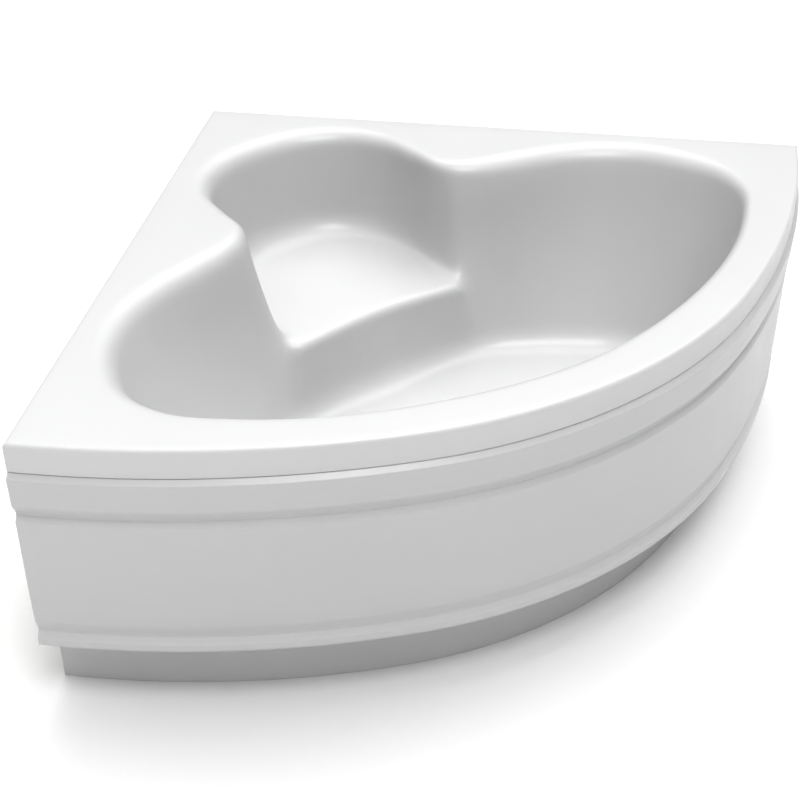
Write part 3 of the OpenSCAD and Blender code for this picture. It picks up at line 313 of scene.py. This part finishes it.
def cut_cylinder(ob, centre, axis, radius, length):
    """Cuts a round hole with a plain boolean, applied at once."""
    me = bpy.data.meshes.new("cutter")
    n = HOLE_SIDES
    ax = Vector(axis).normalized()
    q = ax.to_track_quat("Z", "Y").to_matrix()
    vs, fs = [], []
    for h in (-length / 2, length / 2):
        for i in range(n):
            a = 2 * math.pi * i / n
            vs.append(Vector(centre) + q @ Vector((radius * math.cos(a), radius * math.sin(a), h)))
    for i in range(n):
        j = (i + 1) % n
        fs.append((i, j, n + j, n + i))
    fs.append(tuple(range(n - 1, -1, -1)))
    fs.append(tuple(range(n, 2 * n)))
    me.from_pydata(vs, [], fs)
    me.update()
    cutter = bpy.data.objects.new("cutter", me)
    bpy.context.scene.collection.objects.link(cutter)
    mod = ob.modifiers.new("hole", "BOOLEAN")
    mod.object = cutter
    mod.operation = "DIFFERENCE"
    mod.solver = "EXACT"
    dg = bpy.context.evaluated_depsgraph_get()
    new = bpy.data.meshes.new_from_object(ob.evaluated_get(dg))
    ob.modifiers.clear()
    old = ob.data
    ob.data = new
    bpy.data.meshes.remove(old)
    bpy.data.objects.remove(cutter)
    bpy.data.meshes.remove(me)


TOP_ROWS = section_rows()
NORMALS = grid_normals(TOP_ROWS)

# The overflow's hole, square to the leaning front wall
LEAN = math.atan((TOP[-1][0] - FLOOR[-1][0]) * SIDE / DEPTH)
OVER_S = TOP[-1][0] * SIDE - OVERFLOW_DROP * math.tan(LEAN)
OVER_Z = RIM_Z - OVERFLOW_DROP
OVER_AXIS = Vector((-math.cos(LEAN) * R2, math.cos(LEAN) * R2, math.sin(LEAN)))
OVER_AT = Vector(to_row_frame([OVER_S, 0, OVER_Z]))
OVER_CUT = 0.06         # metres that the cut runs through the wall

SKIRT_SOFT = 0.5        # bevel along the bottom of the downturned edge
SKIRT_HOLD = 2.5        # rows that hold the downturned edge flat
EDGE_HOLD = 6
INNER_BEVEL = 2         # in the corner under the deck
DRAIN_SHARES = (0.3, 0.6, 0.85, 1.0)
BACKING_START = 2       # the backing starts this many rows down the rim's roll


def moved(k, d):
    """Row k of the well's face, d below it."""
    return TOP_ROWS[k] - NORMALS[k] * d


def drain_rows(z):
    """Rows over the flat of the floor, from its edge to the rim of the waste hole."""
    edge = TOP_ROWS[-1].copy()
    edge[:, 2] = z
    c = np.array([WASTE_S, 0, z])
    hole = c + unit(edge - c) * WASTE_R
    return [edge + (hole - edge) * u for u in DRAIN_SHARES]


def edge_rows():
    """Rows up the outside of the downturned edge and over the deck, as far as the well's first row."""
    rows = [rim_row(0, SKIRT_Z + SKIRT_SOFT), rim_row(0, SKIRT_Z + SKIRT_HOLD),
            rim_row(0, RIM_Z - EDGE_R - EDGE_HOLD)]
    for u in np.linspace(0, 1, EDGE_ROWS):
        a = math.radians(90 * u)
        rows.append(rim_row(EDGE_R * (1 - math.cos(a)), RIM_Z - EDGE_R * (1 - math.sin(a))))
    return rows + line_rows(rows[-1], TOP_ROWS[0], DECK_ROWS)


def under_rows():
    """Rows from under the deck down the inside of the downturned edge and round its bottom."""
    return [rim_row(SHEET + INNER_BEVEL, RIM_Z - SHEET), rim_row(SHEET, RIM_Z - SHEET - INNER_BEVEL),
            rim_row(SHEET, SKIRT_Z + SKIRT_SOFT), rim_row(SHEET - SKIRT_SOFT, SKIRT_Z),
            rim_row(SKIRT_SOFT, SKIRT_Z)]


def build_sheet(name, outer_d, inner_d, first, before, after):
    """A sheet that follows the well from row first, between two depths below its face."""
    last = len(TOP_ROWS) - 1
    rows = before + [moved(k, outer_d) for k in range(first, last + 1)]
    rows += drain_rows(FLOOR_Z - outer_d)
    rows += drain_rows(FLOOR_Z - inner_d)[::-1]
    rows += [moved(k, inner_d) for k in range(last, first - 1, -1)]
    sheet = ring_rows_mesh(name, rows + after)
    cut_cylinder(sheet, OVER_AT, OVER_AXIS, OVERFLOW_R / MM, OVER_CUT)
    sheet.data.shade_smooth()
    sheet.data.set_sharp_from_angle(angle=math.radians(SHEET_CREASE))
    return sheet


shell = build_sheet("shell_moulding", 0.0, SHEET, 0, edge_rows(), under_rows())
backing = build_sheet("backing_layup", SHEET + GAP, SHEET + GAP + BACKING, BACKING_START, [], [])

# -------------------------------------------------- the front panel, swept along the front
# Its section, as distances out from the front line and heights
FLANGE_BACK = -26       # the flange under the downturned edge
FLANGE_FRONT = -2
BAND_LEAN = 0.6         # the upper band has come in by this much at UPPER_HOLD
UPPER_HOLD = 12         # below the top ledge
BAND_FOOT = LEDGE_OUT - 2
UPPER_COVE_Z = MID_LEDGE_Z + 32
UPPER_BACK = -5         # the foot of the upper cove
MID_EDGE = (LEDGE_W * 0.8, LEDGE_FALL + 2)      # out and down from that foot to the ledge's edge
MID_HOLD = (LEDGE_W * 0.75, LEDGE_FALL + 14)
LOWER_BAND = 2
LOWER_HOLD = 60         # above the low ledge
LOW_FALL = LEDGE_FALL + 3
LOWER_COVE_Z = LOW_LEDGE_Z + 36
LOWER_BACK = -7         # the foot of the lower cove
LIP_R = 8.0
FLANGE_SOFT = 0.8       # roundings of the section's corners
LEDGE_SOFT = 1.2
TOE_SOFT = 3.0


def cove(a, b):
    """Points of a smooth step from a down to b, without a itself."""
    us = [(k + 1) / COVE_POINTS for k in range(COVE_POINTS)]
    return [(a[0] + (b[0] - a[0]) * (1 - math.cos(math.pi * u)) / 2, a[1] + (b[1] - a[1]) * u, 0)
            for u in us]


def panel_line():
    """The panel's outer line, from the top flange down to the toe: out, height and rounding."""
    top = SKIRT_Z - PANEL_GAP
    pts = [(FLANGE_BACK, top, 0), (FLANGE_FRONT, top, FLANGE_SOFT),
           (LEDGE_OUT, top - LEDGE_FALL, LEDGE_SOFT),
           (LEDGE_OUT - BAND_LEAN, top - LEDGE_FALL - UPPER_HOLD, 0),
           (BAND_FOOT, UPPER_COVE_Z, 0)]
    pts += cove((BAND_FOOT, UPPER_COVE_Z), (UPPER_BACK, MID_LEDGE_Z))
    pts += [(UPPER_BACK + MID_EDGE[0], MID_LEDGE_Z - MID_EDGE[1], LEDGE_SOFT),
            (UPPER_BACK + MID_HOLD[0], MID_LEDGE_Z - MID_HOLD[1], 0),
            (LOWER_BAND, LOW_LEDGE_Z + LOWER_HOLD, 0), (0, LOWER_COVE_Z, 0)]
    pts += cove((0, LOWER_COVE_Z), (LOWER_BACK, LOW_LEDGE_Z))
    pts += [(LOWER_BAND, LOW_LEDGE_Z - LOW_FALL, LEDGE_SOFT)]
    for a in np.linspace(0, 90, LIP_POINTS):
        r = math.radians(a)
        pts.append((LOWER_BAND - LIP_R * (1 - math.cos(r)), TOE_H + LIP_R * (1 - math.sin(r)), 0))
    return pts + [(-TOE_IN, TOE_H, TOE_SOFT), (-TOE_IN, 0, 0)]


def eased(pts):
    """The line with each marked corner rounded by its third number."""
    out = []
    for i, (x, z, r) in enumerate(pts):
        if r <= 0 or i in (0, len(pts) - 1):
            out.append((x, z))
            continue
        p = np.array((x, z))
        a = np.array(pts[i - 1][:2]) - p
        b = np.array(pts[i + 1][:2]) - p
        r = min(r, np.linalg.norm(a) * LINE_SHARE, np.linalg.norm(b) * LINE_SHARE)
        a = p + a / np.linalg.norm(a) * r
        b = p + b / np.linalg.norm(b) * r
        for k in range(EASE_STEPS + 1):
            u = k / EASE_STEPS
            q = a * (1 - u) ** 2 + p * 2 * u * (1 - u) + b * u * u
            out.append((q[0], q[1]))
    return out


def inward(line, t):
    """The line moved t to the panel's back, mitred at its corners."""
    pts = np.array(line)
    d = unit(np.diff(pts, axis=0))
    n = np.stack([d[:, 1], -d[:, 0]], 1)
    first = np.vstack([n[:1], n])
    second = np.vstack([n, n[-1:]])
    dot = np.sum(first * second, 1, keepdims=True)
    return pts + (first + second) / (1 + dot) * t


def front_stations(n_end, n_mid):
    """Centre, radius and angle of the stations along the front, left to right."""
    st = []
    for k in range(n_end):
        a = -wall_turn + end_turn * k / n_end
        st.append((END_C, -END_C, END_R, a))
    for k in range(2 * n_mid + 1):
        a = -JOIN + 2 * JOIN * k / (2 * n_mid)
        st.append((MID_C, 0.0, MID_R, a))
    for k in range(1, n_end + 1):
        a = JOIN + end_turn * k / n_end
        st.append((END_C, END_C, END_R, a))
    return st


def sweep(name, ring, places):
    """A closed ring of (out, height) points swept along the front, capped at both ends."""
    verts, faces = [], []
    n = len(ring)
    for cs, ct, r, a in places:
        for out, z in ring:
            verts.append((cs + (r + out) * math.cos(a), ct + (r + out) * math.sin(a), z))
    for k in range(len(places) - 1):
        for j in range(n):
            i = (j + 1) % n
            faces.append((k * n + j, k * n + i, (k + 1) * n + i, (k + 1) * n + j))
    # the ends: quads between the outer and the inner line
    for k, turn in ((0, False), (len(places) - 1, True)):
        for j in range(n // 2 - 1):
            f = (k * n + j, k * n + n - 1 - j, k * n + n - 2 - j, k * n + j + 1)
            faces.append(f[::-1] if turn else f)
    return mesh_object(name, to_row_frame(verts), faces, PANEL_CREASE)


outer = eased(panel_line())
inner = inward(outer, PANEL_T)
section = [tuple(p) for p in outer] + [tuple(p) for p in inner[::-1]]
panel = sweep("panel_moulding", section, front_stations(END_STATIONS, MID_STATIONS))

# A rib behind each seam of the front's arcs
RIB_LOW = LOW_LEDGE_Z + 50
RIB_HIGH = MID_LEDGE_Z - 40
RIB_RING = ((-22, -2), (-2, -2), (-2, 2), (-22, 2))     # out and across
BOX_FACES = [(0, 3, 2, 1), (4, 5, 6, 7), (0, 1, 5, 4), (1, 2, 6, 5), (2, 3, 7, 6), (3, 0, 4, 7)]


def panel_rib(name, a):
    pts = []
    for z in (RIB_LOW, RIB_HIGH):
        for out, across in RIB_RING:
            r = MID_R + out
            x = MID_C + r * math.cos(a) - across * math.sin(a)
            y = r * math.sin(a) + across * math.cos(a)
            pts.append((x, y, z))
    return mesh_object(name, to_row_frame(pts), BOX_FACES, None)


ribs = [panel_rib("panel_rib_left", -JOIN), panel_rib("panel_rib_right", JOIN)]


# -------------------------------------------------- materials
def new_material(name):
    m = bpy.data.materials.new(name)
    m.use_nodes = True
    nt = m.node_tree
    bsdf = next(n for n in nt.nodes if n.type == "BSDF_PRINCIPLED")
    return m, nt, bsdf


def noise(nt, scale, detail, rough=0.5, stretch=(1, 1, 1), turn=(0, 0, 0)):
    tc = nt.nodes.new("ShaderNodeTexCoord")
    mp = nt.nodes.new("ShaderNodeMapping")
    mp.inputs["Scale"].default_value = stretch
    mp.inputs["Rotation"].default_value = turn
    nz = nt.nodes.new("ShaderNodeTexNoise")
    nz.inputs["Scale"].default_value = scale
    nz.inputs["Detail"].default_value = detail
    nz.inputs["Roughness"].default_value = rough
    nt.links.new(tc.outputs["Object"], mp.inputs["Vector"])
    nt.links.new(mp.outputs["Vector"], nz.inputs["Vector"])
    return nz.outputs["Fac"]


def grey(v):
    return (v, v, v)


def shade(colour, k):
    return tuple(min(1, v * k) for v in colour)


def ramp(nt, source, stops, target):
    """Colours from a source through stops of (place, colour) to a target socket."""
    r = nt.nodes.new("ShaderNodeValToRGB")
    r.color_ramp.elements[0].position = stops[0][0]
    r.color_ramp.elements[0].color = (*stops[0][1], 1)
    r.color_ramp.elements[1].position = stops[-1][0]
    r.color_ramp.elements[1].color = (*stops[-1][1], 1)
    for pos, col in stops[1:-1]:
        e = r.color_ramp.elements.new(pos)
        e.color = (*col, 1)
    nt.links.new(source, r.inputs["Fac"])
    nt.links.new(r.outputs["Color"], target)


def roughness(nt, bsdf, source, lo, hi):
    """A roughness between lo and hi, from the middle of a noise."""
    r = nt.nodes.new("ShaderNodeMapRange")
    r.inputs["From Min"].default_value = 0.3
    r.inputs["From Max"].default_value = 0.7
    r.inputs["To Min"].default_value = lo
    r.inputs["To Max"].default_value = hi
    nt.links.new(source, r.inputs["Value"])
    nt.links.new(r.outputs["Result"], bsdf.inputs["Roughness"])


def bump(nt, bsdf, source, strength, distance):
    b = nt.nodes.new("ShaderNodeBump")
    b.inputs["Strength"].default_value = strength
    b.inputs["Distance"].default_value = distance
    nt.links.new(source, b.inputs["Height"])
    nt.links.new(b.outputs["Normal"], bsdf.inputs["Normal"])


def acrylic(name, tint):
    """White cast acrylic: a soft gloss with a very slight waviness and faint cloudiness."""
    m, nt, bsdf = new_material(name)
    ramp(nt, noise(nt, 2.3, 3.0), [(0.32, shade(tint, 0.985)), (0.68, tint)], bsdf.inputs["Base Color"])
    roughness(nt, bsdf, noise(nt, 9.0, 5.0, 0.6), 0.34, 0.42)
    bump(nt, bsdf, noise(nt, 14.0, 2.0, 0.4), 0.12, 0.0012)
    bsdf.inputs["IOR"].default_value = 1.49
    bsdf.inputs["Coat Weight"].default_value = 0.12
    bsdf.inputs["Coat Roughness"].default_value = 0.18
    return m


def glassfibre():
    """Chopped strands in yellowish resin."""
    m, nt, bsdf = new_material("resin_layup")
    strands = noise(nt, 60.0, 8.0, 0.75)
    chop = nt.nodes.new("ShaderNodeTexVoronoi")
    chop.inputs["Scale"].default_value = 45.0
    chop.inputs["Randomness"].default_value = 1.0
    resin = [(0.25, (0.42, 0.37, 0.24)), (0.5, (0.62, 0.57, 0.42)), (0.78, (0.80, 0.77, 0.64))]
    ramp(nt, strands, resin, bsdf.inputs["Base Color"])
    roughness(nt, bsdf, strands, 0.35, 0.62)
    mix = nt.nodes.new("ShaderNodeMath")
    mix.operation = "ADD"
    nt.links.new(strands, mix.inputs[0])
    nt.links.new(chop.outputs["Distance"], mix.inputs[1])
    bump(nt, bsdf, mix.outputs["Value"], 0.9, 0.004)
    return m


def wood(name, light, dark, stretch, turn=(0, 0, 0), scale=9.0):
    m, nt, bsdf = new_material(name)
    grain = noise(nt, scale, 9.0, 0.62, stretch, turn)
    ramp(nt, grain, [(0.3, dark), (0.5, light), (0.72, shade(light, 1.18))], bsdf.inputs["Base Color"])
    roughness(nt, bsdf, grain, 0.5, 0.72)
    bump(nt, bsdf, grain, 0.35, 0.0012)
    return m


def metal(name, colour, lo, hi, scale, metallic=1.0, coat=0.0):
    m, nt, bsdf = new_material(name)
    n = noise(nt, scale, 6.0, 0.6)
    ramp(nt, n, [(0.3, shade(colour, 0.86)), (0.7, colour)], bsdf.inputs["Base Color"])
    roughness(nt, bsdf, n, lo, hi)
    bsdf.inputs["Metallic"].default_value = metallic
    bsdf.inputs["Coat Weight"].default_value = coat
    bump(nt, bsdf, n, 0.12, 0.0004)
    return m


def plastic(name, colour, lo, hi, scale=40.0, depth=0.0004):
    m, nt, bsdf = new_material(name)
    cloud = noise(nt, scale, 5.0, 0.6)
    ramp(nt, cloud, [(0.3, shade(colour, 0.93)), (0.7, colour)], bsdf.inputs["Base Color"])
    fine = noise(nt, scale * 12, 3.0)
    roughness(nt, bsdf, fine, lo, hi)
    bump(nt, bsdf, fine, 0.15, depth)
    return m


PINE = ((0.62, 0.44, 0.25), (0.44, 0.29, 0.15))         # light and dark
RESINED = ((0.42, 0.28, 0.15), (0.24, 0.14, 0.07))

MAT = {
    "bath": acrylic("acrylic_bath", (0.585, 0.585, 0.587)),
    # The panel gets a darker grey than the bath, though both are the same white acrylic: painted shade
    # for its upright faces.
    "panel": acrylic("acrylic_panel_painted_shade", (0.54, 0.54, 0.543)),
    "fibre": glassfibre(),
    "board": wood("resined_board", *RESINED, (1, 1, 3), scale=60.0),
    "timber_x": wood("planed_timber_x", *PINE, (0.6, 9, 9)),
    "timber_y": wood("planed_timber_y", *PINE, (9, 0.6, 9)),
    "timber_d": wood("planed_timber_d", *PINE, (0.8, 9, 9), (0, 0, -math.pi / 4)),
    "steel": metal("zinc_paint", (0.40, 0.42, 0.44), 0.38, 0.55, 55.0, metallic=0.0, coat=0.15),
    "zinc": metal("bright_zinc", (0.66, 0.67, 0.69), 0.22, 0.38, 90.0),
    "chrome": metal("polished_chrome", (0.82, 0.83, 0.85), 0.04, 0.09, 30.0),
    "white_plastic": plastic("moulded_white", (0.80, 0.80, 0.79), 0.30, 0.42),
    "dark_plastic": plastic("moulded_dark", (0.035, 0.035, 0.038), 0.42, 0.58),
    "rubber": plastic("soft_rubber", (0.025, 0.025, 0.027), 0.62, 0.80, 60.0, 0.0006),
}

USES = {
    "bath": "bath_shell",
    "panel": "front_panel",
    "fibre": "glassfibre_backing",
    "board": "base_board seat_board",
    "timber_x": "rim_batten_back",
    "timber_y": "rim_batten_left",
    "timber_d": "rim_batten_front panel_batten",
    "steel": "spine_rail cross_rail_left cross_rail_right front_arm_left front_arm_right corner_post "
             "left_post right_post front_strut_left front_strut_right seat_strut",
    "zinc": "board_screws weld_nuts lock_nuts wall_hanger_left wall_hanger_back strike_plates "
            "knob_crank plug_stem lift_lever foot_stud_corner foot_stud_left foot_stud_right "
            "foot_stud_seat foot_stud_front_left foot_stud_front_right",
    "chrome": "waste_flange overflow_collar overflow_knob plug_cap",
    "white_plastic": "waste_body trap_inlet_nut trap_bend trap_outlet_nut outlet_pipe overflow_body "
                     "hose_nut_top overflow_hose hose_nut_bottom",
    "dark_plastic": "control_cable magnet_catches foot_pad_corner foot_pad_left foot_pad_right "
                    "foot_pad_seat foot_pad_front_left foot_pad_front_right",
    "rubber": "waste_top_washer waste_bottom_washer overflow_gasket plug_seal",
}


def dress(ob, mat):
    ob.data.materials.clear()
    ob.data.materials.append(mat)


def dress_node(name, mat):
    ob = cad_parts[name]
    if not ob.material_slots:
        ob.data.materials.append(mat)
    for s in ob.material_slots:
        s.material = mat


for key, names in USES.items():
    for name in names.split():
        dress_node(name, MAT[key])

dress(shell, MAT["bath"])
dress(backing, MAT["fibre"])
for ob in [panel] + ribs:
    dress(ob, MAT["panel"])

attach(shell, "bath")
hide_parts("bath_shell")
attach(backing, "bath")
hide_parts("glassfibre_backing")
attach(panel, "front_panel")
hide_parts("front_panel")
for r in ribs:
    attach(r, "front_panel")

# -------------------------------------------------- floor, light and camera, in metres
FLOOR_REACH = 40
FLOOR_UNDER = -0.0005   # just under the feet

floor_me = bpy.data.meshes.new("studio_floor")
floor_me.from_pydata([(x * FLOOR_REACH, y * FLOOR_REACH, FLOOR_UNDER)
                      for x, y in ((-1, -1), (1, -1), (1, 1), (-1, 1))], [], [(0, 1, 2, 3)])
floor = bpy.data.objects.new("studio_floor", floor_me)
bpy.context.scene.collection.objects.link(floor)
paint, paint_nt, paint_bsdf = new_material("studio_floor_paint")
ramp(paint_nt, noise(paint_nt, 1.2, 2.0), [(0.3, grey(0.77)), (0.7, grey(0.79))],
     paint_bsdf.inputs["Base Color"])
paint_bsdf.inputs["Roughness"].default_value = 0.9
floor_me.materials.append(paint)

# The sky: white at the horizon, dark above it and brightening to the zenith
SKY_AXIS = (-0.08, 0.10, 0.99)
SKY_STOPS = [(0.0, grey(0.85)), (0.05, grey(0.04)), (0.25, grey(0.07)), (0.5, grey(0.36)),
             (0.75, grey(0.66)), (1.0, grey(1.0))]
SKY_STRENGTH = 1.6

scene = bpy.context.scene
world = bpy.data.worlds.new("studio")
scene.world = world
world.use_nodes = True
wn = world.node_tree
bg = next(n for n in wn.nodes if n.type == "BACKGROUND")
tc = wn.nodes.new("ShaderNodeTexCoord")
height = wn.nodes.new("ShaderNodeVectorMath")
height.operation = "DOT_PRODUCT"
height.inputs[1].default_value = SKY_AXIS
wn.links.new(tc.outputs["Generated"], height.inputs[0])
ramp(wn, height.outputs["Value"], SKY_STOPS, bg.inputs["Color"])
bg.inputs["Strength"].default_value = SKY_STRENGTH


def light(name, kind, power, direction):
    """A light that shines along direction."""
    d = bpy.data.lights.new(name, kind)
    d.energy = power
    o = bpy.data.objects.new(name, d)
    o.rotation_euler = Vector(direction).to_track_quat("-Z", "Y").to_euler()
    scene.collection.objects.link(o)
    return o


light("high_front", "SUN", 1.15, (-0.24, 0.40, -1.0)).data.angle = math.radians(22)
light("high_back", "SUN", 1.35, (-0.12, -0.50, -1.0)).data.angle = math.radians(50)
LOW_AT = Vector((-0.5, -3.4, 0.45))
low_front = light("low_front", "AREA", 8, Vector((0.1, 0.0, 0.35)) - LOW_AT)
low_front.location = LOW_AT
low_front.data.shape = "RECTANGLE"
low_front.data.size = 2.4
low_front.data.size_y = 0.8

scene.view_settings.view_transform = "Standard"
scene.view_settings.look = "None"
scene.view_settings.gamma = 0.75

# The camera as fitted to the photograph: in pixels, degrees and metres from the wall corner
IMAGE = 800
FOCAL = 1478.88
CENTRE = (401.14, 390.42)
TURNS = (8.6245, 34.1187, 0.159)        # round the bath, up, and about the line of sight
PLACE = (0.9614, -3.2764, 2.0735)
FIT_RIM_Z = 612.8                       # the rim's height in the fit, in millimetres
SENSOR = 36.0

cam_d = bpy.data.cameras.new("camera")
cam_d.sensor_width = SENSOR
cam_d.sensor_fit = "HORIZONTAL"
cam_d.lens = FOCAL / IMAGE * SENSOR
cam_d.shift_x = (IMAGE / 2 - CENTRE[0]) / IMAGE
cam_d.shift_y = (CENTRE[1] - IMAGE / 2) / IMAGE
cam_d.clip_start = 0.05
cam_d.clip_end = 100.0
cam = bpy.data.objects.new("camera", cam_d)
scene.collection.objects.link(cam)
az, el, roll = (math.radians(v) for v in TURNS)
fwd = -Vector((math.sin(az) * math.cos(el), -math.cos(az) * math.cos(el), math.sin(el)))
right = fwd.cross(Vector((0, 0, 1))).normalized()
down = fwd.cross(right)
r1 = right * math.cos(roll) + down * math.sin(roll)
d1 = down * math.cos(roll) - right * math.sin(roll)
m = Matrix((r1, -d1, -fwd)).transposed().to_4x4()
m.translation = Vector((PLACE[0] - HALF / MM, PLACE[1] + HALF / MM, PLACE[2] + (RIM_Z - FIT_RIM_Z) / MM))
cam.matrix_world = m
scene.camera = cam
